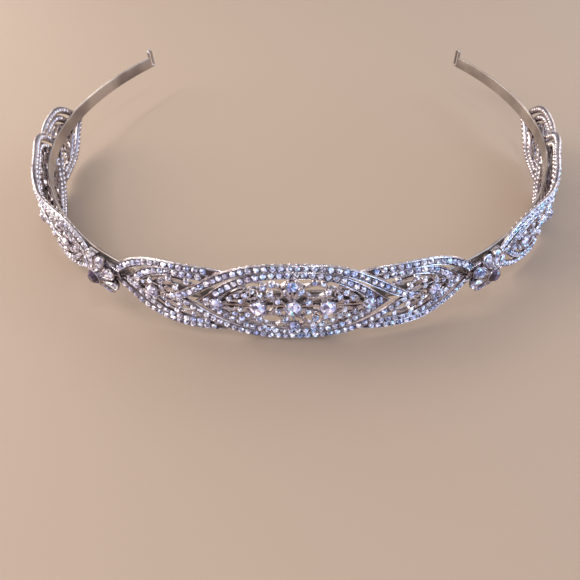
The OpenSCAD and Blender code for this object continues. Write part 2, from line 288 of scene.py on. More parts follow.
class Bench:
    """The modelling operators, each used on one object at a time."""

    @staticmethod
    def clear() -> None:
        """Deselects everything."""
        if bpy.context.object and bpy.context.object.mode != "OBJECT":
            bpy.ops.object.mode_set(mode="OBJECT")
        for obj in bpy.context.selected_objects:
            obj.select_set(False)

    @staticmethod
    def take(*objects: Obj) -> None:
        """Selects some objects alone.

        Args:
            objects: The objects, the one to be active first.
        """
        Bench.clear()
        for obj in objects:
            obj.select_set(True)
        bpy.context.view_layer.objects.active = objects[0]

    @staticmethod
    @contextmanager
    def editing(obj: Obj) -> Iterator[None]:
        """Opens an object in edit mode, with all of it selected.

        Args:
            obj: The object.
        Returns:
            The context, which leaves edit mode at its end.
        """
        Bench.take(obj)
        bpy.ops.object.mode_set(mode="EDIT")
        bpy.ops.mesh.select_mode(type="VERT")
        bpy.ops.mesh.select_all(action="SELECT")
        yield
        bpy.ops.object.mode_set(mode="OBJECT")

    @staticmethod
    @contextmanager
    def editing_top(obj: Obj) -> Iterator[None]:
        """Opens an object in edit mode, with only its upward faces selected.

        Args:
            obj: The object.
        Returns:
            The context, which leaves edit mode at its end.
        """
        bpy.ops.object.transform_apply()
        with Bench.editing(obj):
            bpy.ops.mesh.select_mode(type="FACE")
            bpy.ops.mesh.select_all(action="DESELECT")
            bpy.ops.object.mode_set(mode="OBJECT")
            for face in obj.data.polygons:
                face.select = face.normal.z > 0.9
            bpy.ops.object.mode_set(mode="EDIT")
            yield

    @staticmethod
    def extrude(move: Triple) -> None:
        """Extrudes the selected faces by a move."""
        bpy.ops.mesh.extrude_region_move(TRANSFORM_OT_translate={"value": move})

    @staticmethod
    def skin(points: np.ndarray, loop: bool = False) -> Obj:
        """A grid bent to given closed sections.

        Args:
            points: Array of sections x section points x 3, in metres.
            loop: Whether the last section meets the first. If not, both are closed by a face.
        Returns:
            The closed skin, its faces outward.
        """
        grid = np.concatenate([points, points[:, :1]], 1)
        grid = np.concatenate([grid, grid[:1]], 0) if loop else grid
        rows, cols = grid.shape[:2]
        Bench.clear()
        bpy.ops.mesh.primitive_grid_add(x_subdivisions=cols - 1, y_subdivisions=rows - 1)
        obj = bpy.context.object
        obj.data.vertices.foreach_set("co", grid.reshape(-1))
        obj.data.update()
        with Bench.editing(obj):
            bpy.ops.mesh.remove_doubles(threshold=1e-7)
            if not loop:
                bpy.ops.mesh.select_non_manifold()
                bpy.ops.mesh.fill_holes(sides=0)
                bpy.ops.mesh.select_all(action="SELECT")
            bpy.ops.mesh.normals_make_consistent(inside=False)
        return obj

    @staticmethod
    def join(parts: Sequence[Obj]) -> Obj:
        """Joins objects.

        Args:
            parts: The objects.
        Returns:
            The first of them, which holds them all.
        """
        Bench.take(*parts)
        if len(parts) > 1:
            bpy.ops.object.join()
        return parts[0]

    @staticmethod
    def copies(model: Obj, places: Iterable[Matrix]) -> list[Obj]:
        """Copies a model, each copy with its own mesh.

        Args:
            model: The model.
            places: A matrix for each copy.
        Returns:
            The copies.
        """
        made = []
        for matrix in places:
            copy = bpy.data.objects.new(model.name, model.data.copy())
            copy.data.transform(matrix)
            bpy.context.scene.collection.objects.link(copy)
            made.append(copy)
        return made

    @staticmethod
    def drop(*objects: Obj) -> None:
        """Deletes models that have been copied."""
        for obj in objects:
            bpy.data.objects.remove(obj)

    @staticmethod
    def apply(obj: Obj, kind: str, **values: object) -> None:
        """Puts a modifier on an object and applies it.

        Args:
            obj: The object.
            kind: The modifier's type.
            values: Its settings.
        """
        Bench.take(obj)
        modifier = obj.modifiers.new("shape", kind)
        for key, value in values.items():
            setattr(modifier, key, value)
        bpy.ops.object.modifier_apply(modifier=modifier.name)

    @staticmethod
    def soften(obj: Obj, degrees: float = 180) -> Obj:
        """Shades an object smooth.

        Args:
            obj: The object.
            degrees: The angle over which its edges stay sharp.
        Returns:
            The object.
        """
        Bench.take(obj)
        bpy.ops.object.shade_smooth_by_angle(angle=math.radians(degrees))
        return obj

    @staticmethod
    def points(obj: Obj) -> np.ndarray:
        """An object's points in metres, one a row."""
        return np.array([v.co[:] for v in obj.data.vertices])


def paint(obj: Obj, name: str, values: np.ndarray, domain: str = "POINT") -> None:
    """Writes one number per vertex or face as a named attribute."""
    attribute = obj.data.attributes.new(name, "FLOAT", domain)
    attribute.data.foreach_set("value", np.asarray(values, np.float32))


def unshaded(obj: Obj) -> Obj:
    """Paints no shade on any of a piece of metal, and gives it back."""
    paint(obj, "recess_shade", np.zeros(len(obj.data.vertices)))
    return obj


# How much painted shade darkens a stone's edge, and between which shares of its width that comes on
RIM_SHADE = 0.28
RIM_SHADE_SPAN = (0.66, 0.95)
# How bright the larger stones' painted facet sparkle is, and how far they are moved toward the
# coloured hues
MAIN_LOOK = (0.92, 0.5)
PETAL_LOOK = (0.72, 0.3)


def sparkle(obj: Obj, stones: int, seed: int, dim: float = 1.0, fire: float = 0.0) -> None:
    """Gives each facet and stone of a joined set its own tint and painted sparkle, with painted
    shade darker at its edge.

    Args:
        obj: The joined stones, each with the same number of faces.
        stones: How many stones are in it.
        seed: Seed of the draws.
        dim: What the facets' painted sparkle is multiplied by.
        fire: How far every facet is moved toward the coloured hues, from 0 to 1.
    """
    draw = random.Random(seed)
    centres = np.array([p.center for p in obj.data.polygons])
    faces = len(centres)
    whose = np.minimum(stones, np.arange(faces) // max(1, faces // stones))
    own = [draw.random() for _ in range(stones + 1)]
    paint(obj, "stone", np.array(own)[whose], "FACE")
    sums = np.stack([np.bincount(whose, centres[:, k], stones + 1) for k in range(3)], 1)
    middles = sums / np.maximum(1, np.bincount(whose, minlength=stones + 1))[:, None]
    far = np.linalg.norm(centres - middles[whose], axis=1)
    widest = np.zeros(stones + 1)
    np.maximum.at(widest, whose, far)
    # Painted shade: facets darker toward each stone's edge
    edge = np.interp(far / widest[whose], RIM_SHADE_SPAN, (1.0, 1.0 - RIM_SHADE))
    facets, hues = (np.array([draw.random() for _ in range(faces)]) for _ in range(2))
    # Painted sparkle: each facet's own brightness, as if it caught the light
    paint(obj, "facet_glint", facets * dim * edge, "FACE")
    paint(obj, "hue", fire + (1 - fire) * hues, "FACE")


# Finishes


class Graph:
    """A short hand for building a material's nodes."""

    def __init__(self, name: str) -> None:
        """Starts a material.

        Args:
            name: Its name.
        """
        self.material = bpy.data.materials.new(name)
        self.material.use_nodes = True
        self.tree = self.material.node_tree
        self.shader = self.tree.nodes["Principled BSDF"]

    def feed(self, node: bpy.types.Node, values: dict[str | int, object]) -> bpy.types.Node:
        """Feeds a node.

        Args:
            node: The node.
            values: A socket or a value for each property, or for each input by name or number.
        Returns:
            The node.
        """
        for key, value in values.items():
            if isinstance(key, str) and hasattr(node, key):
                setattr(node, key, value)
                continue
            into = node.inputs[key.replace("_", " ") if isinstance(key, str) else key]
            if isinstance(value, Socket):
                self.tree.links.new(value, into)
            else:
                into.default_value = (*value, 1) if into.type == "RGBA" else value
        return node

    def add(self, kind: str, **values: object) -> bpy.types.Node:
        """Adds a node of a type and feeds it by name."""
        return self.feed(self.tree.nodes.new("ShaderNode" + kind), values)

    def surface(self, **values: object) -> Material:
        """Feeds the shader by name and gives the finished material."""
        self.feed(self.shader, values)
        return self.material

    @property
    def where(self) -> Socket:
        """Object coordinates."""
        return self.add("TexCoord").outputs["Object"]

    @property
    def across(self) -> Socket:
        """The place across the tiara, in metres."""
        return self.add("SeparateXYZ", Vector=self.where).outputs["X"]

    def attribute(self, name: str) -> Socket:
        """A named attribute of the mesh as a number."""
        return self.add("Attribute", attribute_name=name).outputs["Fac"]

    def ramp(self, source: Socket, stops: Stops) -> Socket:
        """A colour ramp over a value.

        Args:
            source: The value.
            stops: Position and colour of each stop.
        Returns:
            The colour.
        """
        node = self.add("ValToRGB", Fac=source)
        ends = node.color_ramp.elements
        while len(ends) < len(stops):
            ends.new(0.5)
        for element, (position, colour) in zip(ends, stops):
            element.position, element.color = position, (*colour, 1)
        return node.outputs["Color"]

    def noise(
        self, scale: float, detail: float = 2, rough: float = 0.5, stretch: Triple | None = None
    ) -> Socket:
        """Noise on object coordinates.

        Args:
            scale: Its scale per metre.
            detail: Its number of finer layers.
            rough: How strong those are.
            stretch: A scale for each axis.
        Returns:
            The value.
        """
        where = self.where
        if stretch:
            where = self.add("Mapping", Vector=where, Scale=stretch).outputs["Vector"]
        node = self.add("TexNoise", Vector=where, Scale=scale, Detail=detail, Roughness=rough)
        return node.outputs["Fac"]

    def span(self, source: Socket, to: Place, start: float = 0, end: float = 1) -> Socket:
        """A value spread from start..end to a low and a high value."""
        ends = {"From_Min": start, "From_Max": end, "To_Min": to[0], "To_Max": to[1]}
        return self.add("MapRange", Value=source, **ends).outputs["Result"]

    def mix(self, factor: object, a: object, b: object, blend: str = "MIX") -> Socket:
        """Two colours mixed by a factor, each a socket or a plain value."""
        node = self.add("Mix", data_type="RGBA", blend_type=blend)
        return self.feed(node, {0: factor, 6: a, 7: b}).outputs[2]

    def math(self, operation: str, *values: object) -> Socket:
        """A sum over values, each a socket or a number."""
        return self.feed(self.add("Math", operation=operation), dict(enumerate(values))).outputs[0]

    def bump(self, source: Socket, relief: Place) -> Socket:
        """A normal bumped by a value, with a strength and a distance in metres."""
        node = self.add("Bump", Height=source, Strength=relief[0], Distance=relief[1])
        return node.outputs["Normal"]


@dataclass(frozen=True)
class Silver:
    """Bright plating over a cast surface, with shade painted dark down in its recesses."""

    name: str = "plated_silver"
    bright: Colour = (0.90, 0.87, 0.90)
    warm: Colour = (0.60, 0.53, 0.56)
    # Colour of the shade painted into the recesses
    dark: Colour = (0.115, 0.09, 0.12)
    dull: Colour = (0.34, 0.28, 0.31)
    polish: Place = (0.12, 0.34)
    relief: Place = (0.35, 0.00006)
    spots: Stops = ((0.45, BLACK), (0.62, (0.8, 0.8, 0.8)))
    scales: tuple[float, ...] = (260, 900, 420, 1500)

    def make(self) -> Material:
        """Builds the material.

        Returns:
            The material.
        """
        g = Graph(self.name)
        tone, spot, smear, grain = self.scales
        colour = g.mix(g.noise(tone, 3), self.bright, self.warm)
        colour = g.mix(g.ramp(g.noise(spot), self.spots), colour, self.dull)
        return g.surface(
            # Painted shade: darkens the plating in recesses toward the dark colour
            Base_Color=g.mix(g.attribute("recess_shade"), colour, self.dark),
            Metallic=1.0,
            Roughness=g.span(g.noise(smear), self.polish),
            Normal=g.bump(g.noise(grain, 3, 0.6), self.relief),
        )


@dataclass(frozen=True)
class Steel:
    """Drawn spring steel, brushed along its length, with a faint painted glow that lightens it in
    shade.
    """

    name: str = "sprung_steel"
    bright: Colour = (0.46, 0.41, 0.38)
    warm: Colour = (0.16, 0.125, 0.12)
    painted_glow: Colour = (0.5, 0.42, 0.38)
    brush: Triple = (1, 1, 22)
    polish: Place = (0.16, 0.3)
    relief: Place = (0.2, 0.00004)
    patches: Stops = ((0.34, BLACK), (0.66, (1, 1, 1)))

    def make(self) -> Material:
        """Builds the material.

        Returns:
            The material.
        """
        g = Graph(self.name)
        lines = g.noise(180, 3, 0.6, self.brush)
        return g.surface(
            Base_Color=g.mix(g.ramp(g.noise(70), self.patches), self.bright, self.warm),
            Metallic=1.0,
            Roughness=g.span(lines, self.polish),
            # Painted light: a faint glow that lightens the steel where it lies in shade
            Emission_Color=self.painted_glow,
            Emission_Strength=0.1,
            Normal=g.bump(lines, self.relief),
        )


@dataclass(frozen=True)
class Crystal:
    """A foiled cut stone: each facet takes its own painted sparkle as brightness, each stone its
    own tint.

    The stops colour a facet by its painted sparkle, the tints a stone by its own draw, cooler
    toward the right and warmer toward the left as a painted reflection of bluish light from the
    right, and the fire a facet by its own draw, stronger toward the right as a painted reflection
    of the same light.
    The brightest facets glow as painted glints.
    """

    name: str
    stops: Stops
    tints: Stops
    fire: Stops = (
        (0.45, (1.0, 1.0, 1.0)),
        (0.58, (1.0, 0.84, 0.92)),
        (0.72, (0.80, 0.72, 1.0)),
        (0.87, (0.60, 0.70, 1.0)),
        (0.98, (0.40, 0.92, 1.0)),
    )
    glint_stops: Stops = ((0.5, (0.16, 0.16, 0.16)), (0.66, (0.2, 0.2, 0.2)), (0.74, (1, 1, 1)))
    chips: float = 1500.0
    chip_share: float = 0.4
    own_share: float = 0.58
    fire_share: float = 0.9
    metallic: float = 0.25
    film: float = 420.0
    painted_glow: float = 0.0
    coat: float = 1.0
    rough: float = 0.06
    index: float = 1.58
    coat_rough: float = 0.02
    film_index: float = 1.7
    window_cool: tuple[float, ...] = (0.0, 0.42, -0.05, 0.06)
    window_fire: tuple[float, ...] = (0.62, 1.0, -0.055, -0.005)
    chip_tint: Place = (0.45, 1.0)

    def make(self) -> Material:
        """Builds the material.

        Returns:
            The material.
        """
        g = Graph(self.name)
        facet_glint, stone, hue = (g.attribute(name) for name in ("facet_glint", "stone", "hue"))
        # Voronoi chips break up the painted facet sparkle and the tint
        cells = g.add("TexVoronoi", Vector=g.where, Scale=self.chips)
        chip = g.add("SeparateColor", Color=cells.outputs["Color"]).outputs
        draws = {0: self.chip_share, 2: facet_glint, 3: chip["Red"]}
        draw = g.feed(g.add("Mix", data_type="FLOAT"), draws).outputs[0]
        light = g.ramp(draw, self.stops)
        # Painted reflection of bluish light from the right: stones cooler toward the right, warmer
        # toward the left
        window_cool = g.span(g.across, self.window_cool[:2], *self.window_cool[2:])
        tint = g.ramp(g.math("MULTIPLY_ADD", stone, self.own_share, window_cool), self.tints)
        own = g.mix(stone, light, tint, "MULTIPLY")
        tinted = g.mix(g.span(chip["Green"], self.chip_tint), light, own)
        # Painted reflection of the same light: fire stronger toward the right
        window_fire = g.span(g.across, self.window_fire[:2], *self.window_fire[2:])
        flash = g.ramp(g.math("MULTIPLY", hue, window_fire), self.fire)
        whole = g.mix(self.fire_share, tinted, flash, "MULTIPLY")
        return g.surface(
            Base_Color=whole,
            # Painted glints: the brightest draws glow, though the stone is no lamp
            Emission_Color=g.mix(g.ramp(draw, self.glint_stops), BLACK, whole),
            Emission_Strength=self.painted_glow,
            Metallic=self.metallic,
            Roughness=self.rough,
            IOR=self.index,
            Coat_Weight=self.coat,
            Coat_Roughness=self.coat_rough,
            Thin_Film_Thickness=self.film,
            Thin_Film_IOR=self.film_index,
        )


# The stops paint each facet's sparkle from dark to white; the glow paints glints on the brightest
# facets
WHITE_CRYSTAL = Crystal(
    "frost_crystal",
    (
        (0.2, (0.13, 0.10, 0.15)),
        (0.36, (0.38, 0.35, 0.47)),
        (0.52, (0.78, 0.75, 0.84)),
        (0.68, (1.0, 0.98, 1.0)),
    ),
    (
        (0.05, (1.0, 0.94, 0.84)),
        (0.26, (1.0, 0.88, 0.90)),
        (0.44, (0.80, 0.78, 1.0)),
        (0.62, (0.60, 0.70, 1.0)),
        (0.84, (0.42, 0.60, 1.0)),
        (0.96, (0.30, 0.90, 1.0)),
    ),
    painted_glow=0.72,
)
DARK_CRYSTAL = Crystal(
    "night_crystal",
    ((0.2, (0.015, 0.010, 0.02)), (0.5, (0.05, 0.03, 0.06)), (0.8, (0.16, 0.10, 0.20))),
    ((0.2, (1.0, 0.7, 0.8)), (0.8, (0.7, 0.7, 1.0))),
    metallic=0.03,
    film=0.0,
    coat=0.35,
)


@dataclass(frozen=True)
class Paper:
    """The pale backdrop that the tiara lies on."""

    name: str = "pale_floor"
    tone: Colour = (0.375, 0.277, 0.208)

    def make(self) -> Material:
        """Builds the material."""
        return Graph(self.name).surface(Base_Color=self.tone, Roughness=0.6)


@dataclass(frozen=True)
class Finish:
    """A material with the record's slot that it belongs to."""

    material: Material
    slot: Slot

    def dress(self, obj: Obj, name: str, *nodes: str) -> None:
        """Puts the finish on a piece and rides it on the tiara.

        Args:
            obj: The piece.
            name: Its name.
            nodes: The CAD nodes that it stands for.
        """
        obj.name = obj.data.name = name
        obj.data.materials.clear()
        obj.data.materials.append(self.material)
        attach(obj, BODY)
        if nodes:
            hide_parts(*nodes)
        log.info("%s: %d faces", obj.name, len(obj.data.polygons))


class Finishes:
    """Every finish of the tiara, made once."""

    def __init__(self) -> None:
        """Builds the materials."""
        self.silver = Finish(Silver().make(), Slot.METAL)
        self.steel = Finish(Steel().make(), Slot.METAL)
        self.crystal = Finish(WHITE_CRYSTAL.make(), Slot.CRYSTAL)
        self.dark = Finish(DARK_CRYSTAL.make(), Slot.DARK)


# Small parts, modelled once


@dataclass
class Findings:
    """The jeweller's small parts, each of unit size with its girdle or foot at the origin.

    A stone's rings are given as radius, height and turn, a cup as its wall and its height.
    """

    row_rings: tuple[Triple, ...] = ((0.3, 0.26, math.pi / 8), (0.42, -0.15, 0))
    rings: tuple[Triple, ...] = ((0.43, 0.16, 0), (0.29, 0.3, math.pi / 8), (0.36, -0.14, 0))
    cup_size: Place = (0.06, 0.34)
    small_cup_size: Place = (0.1, 0.55)
    hollow: float = 0.25
    back_depth: float = 0.62
    claw_r: float = 0.065
    claw_h: float = 0.4
    claw_at: Triple = (0.56, 0, -0.12)
    claw_bends: tuple[Triple, ...] = ((-0.05, 0, 0.1), (-0.07, 0, 0.05))
    claw_tip: float = 0.6

    def __post_init__(self) -> None:
        """Models every part once."""
        self.row_stone = self.stone(8, self.row_rings)
        self.brilliant = self.stone(16, self.rings)
        self.collet = self.cup(24, *self.cup_size)
        self.small_collet = self.cup(14, *self.small_cup_size)
        self.grain = self.bead()
        self.dome = self.cup_back()
        self.claw = self.prong()

    @staticmethod
    def stone(sides: int, rings: Sequence[Triple]) -> Obj:
        """A cut stone one unit across, as the hull of its girdle and its other rings of corners.

        Args:
            sides: Sides of the girdle.
            rings: Radius, height and turn of each other ring, which has eight corners.
        Returns:
            The stone.
        """
        bpy.ops.mesh.primitive_circle_add(vertices=sides, radius=0.5)
        obj = bpy.context.object
        with Bench.editing(obj):
            for radius, z, turn in rings:
                place = {"location": (0, 0, z), "rotation": (0, 0, turn)}
                bpy.ops.mesh.primitive_circle_add(vertices=8, radius=radius, **place)
            bpy.ops.mesh.select_all(action="SELECT")
            bpy.ops.mesh.convex_hull()
        return obj

    def cup(self, sides: int, wall: float, height: float) -> Obj:
        """A round cup one unit across inside, with a bevelled rim and a hollow for the stone.

        Args:
            sides: Sides of the cup.
            wall: Thickness of the rim against the stone.
            height: Height from foot to rim.
        Returns:
            The cup, its rim at the origin's height.
        """
        size = {"radius": 0.5 + wall, "depth": height, "location": (0, 0, -height / 2)}
        bpy.ops.mesh.primitive_cylinder_add(vertices=sides, **size)
        obj = bpy.context.object
        with Bench.editing_top(obj):
            bpy.ops.mesh.inset(thickness=wall)
            Bench.extrude((0, 0, -self.hollow))
        limit = {"limit_method": "ANGLE", "angle_limit": math.radians(50)}
        Bench.apply(obj, "BEVEL", width=wall * 0.35, segments=1, **limit)
        return Bench.soften(obj, 40)

    @staticmethod
    def bead() -> Obj:
        """A small round bead of metal of unit radius that holds a stone's edge."""
        bpy.ops.mesh.primitive_ico_sphere_add(subdivisions=1, radius=1)
        return Bench.soften(bpy.context.object)

    def cup_back(self) -> Obj:
        """The low round back of a stone's cup, one unit across, its face toward the strip.

        Returns:
            The back.
        """
        bpy.ops.mesh.primitive_uv_sphere_add(segments=10, ring_count=6, radius=0.5)
        with Bench.editing(bpy.context.object):
            bpy.ops.transform.resize(value=(1, 1, self.back_depth))
        return Bench.soften(bpy.context.object)

    def prong(self) -> Obj:
        """A claw that rises at the edge of a unit stone and bends in over its crown.

        Returns:
            The claw.
        """
        size = {"radius": self.claw_r, "depth": self.claw_h, "location": self.claw_at}
        bpy.ops.mesh.primitive_cylinder_add(vertices=8, **size)
        obj = bpy.context.object
        with Bench.editing_top(obj):
            for bend in self.claw_bends:
                Bench.extrude(bend)
            bpy.ops.transform.resize(value=(self.claw_tip,) * 3)
        return Bench.soften(obj, 60)


# The castings


@dataclass(frozen=True)
class RowCut:
    """Cross-section of a stone-set row: two thin rims and a sunk channel between them.

    The rise runs from a rim's foot over its top, as inset and share of the rim's height. The lip
    and the channel's edge follow it.
    """

    rim: float = 0.15
    floor: float = 0.22
    taper: float = 0.45
    foot: float = -0.35
    rise: tuple[Place, ...] = ((0.0, 0.0), (0.02, 0.75), (0.07, 1.0), (0.13, 0.7))
    lip: Place = (0.16, -0.08)
    channel: float = 0.22

    def section(self, front: float) -> list[Place]:
        """The closed section of a row.

        Args:
            front: Distance outward of the casting's front.
        Returns:
            Inset from the outline and distance outward, from place to place.
        """
        rise = [(w, self.rim * share) for w, share in self.rise]
        edge = [*rise, self.lip, (self.channel, -self.floor)]
        left = [(w, front + o) for w, o in edge]
        right = [(ROW_W - w, front + o) for w, o in reversed(edge)]
        middle = [*left, (ROW_W / 2, front - self.floor), *right]
        middle = [(0.0, front + self.foot), *middle, (ROW_W, front + self.foot)]
        return [(self.taper, BACK), *middle, (ROW_W - self.taper, BACK)]


@dataclass(frozen=True)
class Stone:
    """A stone's place on a panel and its diameter."""

    x: float
    y: float
    d: float


def placed(*rows: Triple) -> tuple[Stone, ...]:
    """Stones from rows of their numbers."""
    return tuple(Stone(*row) for row in rows)


def smooth(points: Run, steps: int = 6) -> np.ndarray:
    """A smooth run through a few points.

    Args:
        points: The points.
        steps: Number of steps from one to the next.
    Returns:
        The run's places.
    """
    p = np.array(points, float)
    p = np.concatenate([2 * p[:1] - p[1:2], p, 2 * p[-1:] - p[-2:-1]])
    run = []
    for a, b, c, d in zip(p[:-3], p[1:-2], p[2:-1], p[3:]):
        for u in np.linspace(0, 1, steps, endpoint=False):
            square, cube = (2 * a - 5 * b + 4 * c - d) * u**2, (3 * b - 3 * c + d - a) * u**3
            run.append(0.5 * (2 * b + (c - a) * u + square + cube))
    return np.array([*run, p[-2]])


def apart(places: Iterable[Place], others: Sequence[Triple]) -> list[Place]:
    """The places that lie outside every one of some circles."""
    return [(x, y) for x, y in places if all(math.hypot(x - a, y - b) > r for a, b, r in others)]


# The CAD node of a row of small stones, where it has its own
ROW_NODES = {"front_centre": ("front_row_stones",)}


@dataclass
class Casting:
    """What every casting has: its place, its front, and the small parts that are set in it."""

    band: Band
    panel: Panel
    finishes: Finishes
    kit: Findings
    front: float
    steps: int = 60
    row: RowCut = RowCut()
    pitch: float = 1.65
    stone_d: float = 1.5
    bead_d: float = 0.21
    bead_side: float = 0.52
    tilt: float = 0.12
    row_gap: float = 1.42
    stone_gap: float = 0.7
    clear_h: float = 2.5
    edge: float = 0.2
    girdle: float = 0.55
    # How fast the painted shade darkens with depth
    fade: float = 3.0
    sharp: float = 38
    probes: int = 1600
    row_steps: int = 80
    row_rise: float = 0.02
    bead_rise: float = 0.1
    small_rise: float = 0.16
    cup_rise: float = 0.18
    collet_rise: float = 0.08
    back_size: float = 0.86

    def sweep(self, outline: Outline, section: Sequence[Place]) -> Obj:
        """A closed skin along an outline, from a section of inset and distance outward."""
        loops = [lift(self.panel.place(outline.loop(w, self.steps)), o) for w, o in section]
        return self.band.skin(loops, True)

    def rail(self, outline: Outline) -> Obj:
        """The metal of one closed row along an outline."""
        return self.shade(self.sweep(outline, self.row.section(self.front)), self.front + 0.05)

    def edging(self, outline: Outline) -> Obj:
        """The polished wire round a casting's edge.

        Args:
            outline: The edge.
        Returns:
            The wire.
        """
        wide, out = self.edge, self.front - 0.15
        section = [(0.05 - wide * math.cos(a), out + wide * math.sin(a)) for a in around(8)]
        return unshaded(self.sweep(outline, section))

    def shade(self, obj: Obj, high: float) -> Obj:
        """Paints shade on what lies lower than a height on a piece, darker the deeper, and gives
        the piece back.
        """
        paint(obj, "recess_shade", self.depth(Bench.points(obj) / MM, high))
        return obj

    def depth(self, points: np.ndarray, high: float) -> np.ndarray:
        """How much shade is painted on points by how deep they lie in a casting.

        Args:
            points: The points, in millimetres.
            high: Distance outward at which the depth is nothing.
        Returns:
            From 0 to 1 at each point, and a middle value of painted shade at the plain back.
        """
        band = self.band
        s = np.linspace(-band.end - 3, band.end + 3, self.probes)
        x, y, t = band.station(s)
        k = np.array([int(np.argmin((x - p[0]) ** 2 + (y - p[1]) ** 2)) for p in points])
        g = (points[:, 0] - x[k]) * np.sin(t[k]) - (points[:, 1] - y[k]) * np.cos(t[k])
        rise = points[:, 2] - band.z
        out = g * math.cos(band.lean) - rise * math.sin(band.lean)
        h = g * math.sin(band.lean) + rise * math.cos(band.lean)
        out = out + band.bow * (h / band.bow_h) ** 2 - band.stand(s[k])
        deep = np.clip((high - out) / (high - BACK) * self.fade, 0, 1)
        return np.where(out < BACK + 0.05, 0.35, deep)

    def along_row(self, outline: Outline) -> list[Place]:
        """Even places for the stones along the middle of a row.

        Args:
            outline: The row's outline.
        Returns:
            The places.
        """
        loop = outline.loop(ROW_W / 2, self.row_steps)
        step = np.linalg.norm(np.roll(loop, -1, 0) - loop, axis=1)
        total = np.concatenate([[0], np.cumsum(step)])
        count = int(total[-1] / self.pitch)
        at = (np.arange(count) + 0.5) * total[-1] / count
        closed = np.concatenate([loop, loop[:1]])
        x, y = (np.interp(at, total, closed[:, k]) for k in (0, 1))
        return [(float(a), float(b)) for a, b in zip(x, y)]

    def wire(
        self, path: np.ndarray, width: float | np.ndarray, front: float, closed: bool = False
    ) -> Obj:
        """A flat-backed wire with a rounded top along a path on the panel.

        Args:
            path: Places on the panel.
            width: Width of the wire, or one width for each place.
            front: Distance outward of its crest.
            closed: Whether the path closes on itself.
        Returns:
            The wire.
        """
        if closed:
            ahead = np.roll(path, -1, 0) - np.roll(path, 1, 0)
        else:
            ahead = np.gradient(path, axis=0)
        ahead /= np.maximum(np.linalg.norm(ahead, axis=1, keepdims=True), 1e-9)
        across = np.stack([-ahead[:, 1], ahead[:, 0]], 1) * np.reshape(width, (-1, 1))
        rise = [(-0.5, BACK), (-0.5, front - 0.3), (-0.36, front - 0.08)]
        bevel = [*rise, (0.0, front), *((-w, o) for w, o in reversed(rise))]
        rails = [lift(self.panel.place(path + across * w), o) for w, o in bevel]
        return self.shade(self.band.skin(rails, closed), front - 0.14)

    def leaf(self, shape: Leaf, mirror: Place, drop: float = 0.0) -> Obj:
        """A solid domed leaf from point to point.

        Args:
            shape: Its two points and its width.
            mirror: The signs that put it in its quarter of the panel.
            drop: How far it is moved up the wall.
        Returns:
            The leaf.
        """
        start, end, width = shape
        u = np.linspace(0, 1, 10)
        path = np.stack([np.interp(u, [0, 1], [start[k], end[k]]) for k in (0, 1)], 1)
        path[:, 1] += 0.25 * np.sin(np.pi * u)
        width = width * (0.12 + 0.88 * np.sin(np.pi * u) ** 0.8)
        return self.wire(path * mirror + (0, drop), width, self.front - 0.12)

    def seat(self, x: float, y: float, out: float, size: float, turn: float = 0.0) -> Matrix:
        """The matrix that puts a unit part on the panel.

        Args:
            x: Place along the panel.
            y: Height on it.
            out: Distance outward.
            size: Size of the part in millimetres.
            turn: Its turn about its own axis.
        Returns:
            The matrix, in metres.
        """
        s, h = self.panel.place(np.array([x, y]))
        place = self.band.seat(float(s), float(h), out) @ Matrix.Rotation(turn, 4, "Z")
        return place @ Matrix.Scale(size * self.panel.size * MM, 4)

    def set_rows(self, name: str, rows: Sequence[list[Place]]) -> tuple[Obj, list[Obj]]:
        """Sets the rows' small stones, with a bead on each side of every gap.

        Args:
            name: Name of the set, which also seeds the stones' turns.
            rows: The stones' places, row by row.
        Returns:
            The joined stones, and the beads with the round backs of the stones' cups.
        """
        draw = random.Random(name)
        crystals, beads, backs = [], [], []
        for row in rows:
            for i, (x, y) in enumerate(row):
                if abs(self.panel.place(np.array([x, y]))[1]) > self.clear_h:
                    size = self.stone_d * self.back_size
                    backs.append(self.seat(x, y, BACK + self.row_rise, size))
                turn = draw.uniform(0, math.pi)
                place = self.seat(x, y, self.front + self.row_rise, self.stone_d, turn)
                for axis in "XY":
                    place = place @ Matrix.Rotation(draw.uniform(-self.tilt, self.tilt), 4, axis)
                crystals.append(place)
                nx, ny = row[(i + 1) % len(row)]
                gap = math.hypot(nx - x, ny - y)
                if gap < self.pitch * 1.3:
                    ux, uy = (nx - x) / gap, (ny - y) / gap
                    for side in (-self.bead_side, self.bead_side):
                        at = ((x + nx) / 2 - uy * side, (y + ny) / 2 + ux * side)
                        beads.append(self.seat(*at, self.front + self.bead_rise, self.bead_d))
        joined = Bench.join(Bench.copies(self.kit.row_stone, crystals))
        sparkle(joined, len(crystals), len(crystals))
        return joined, Bench.copies(self.kit.grain, beads) + Bench.copies(self.kit.dome, backs)

    def set_small(
        self, small: Iterable[Stone], taken: Sequence[Triple], metal: list[Obj]
    ) -> list[Obj]:
        """The openwork's small stones, each in its own cup.

        Args:
            small: Their places.
            taken: Circles of the main stones, which come first.
            metal: The list that the cups are added to.
        Returns:
            The stones.
        """
        kept = [s for s in small if apart([(s.x, s.y)], [(a, b, r + s.d / 2) for a, b, r in taken])]
        cups = [self.seat(s.x, s.y, self.front + self.cup_rise, s.d) for s in kept]
        metal += Bench.copies(self.kit.small_collet, cups)
        places = [self.seat(s.x, s.y, self.front + self.small_rise, s.d, s.x) for s in kept]
        return Bench.copies(self.kit.row_stone, places)

    def set_stone(self, stone: Stone) -> tuple[Obj, list[Obj]]:
        """A main stone with its collet and four claws.

        Args:
            stone: Its place.
        Returns:
            The stone, and the metal that holds it.
        """
        x, y, d, out = stone.x, stone.y, stone.d, self.front + self.girdle
        crystal = Bench.copies(self.kit.brilliant, [self.seat(x, y, out, d)])[0]
        sparkle(crystal, 1, int(d * 100 + abs(x) * 7 + y), *MAIN_LOOK)
        metal = Bench.copies(self.kit.collet, [self.seat(x, y, out + self.collet_rise, d)])
        turns = [math.pi / 4 + k * math.pi / 2 for k in range(4)]
        claws = Bench.copies(self.kit.claw, [self.seat(x, y, out, d, turn) for turn in turns])
        return crystal, metal + claws

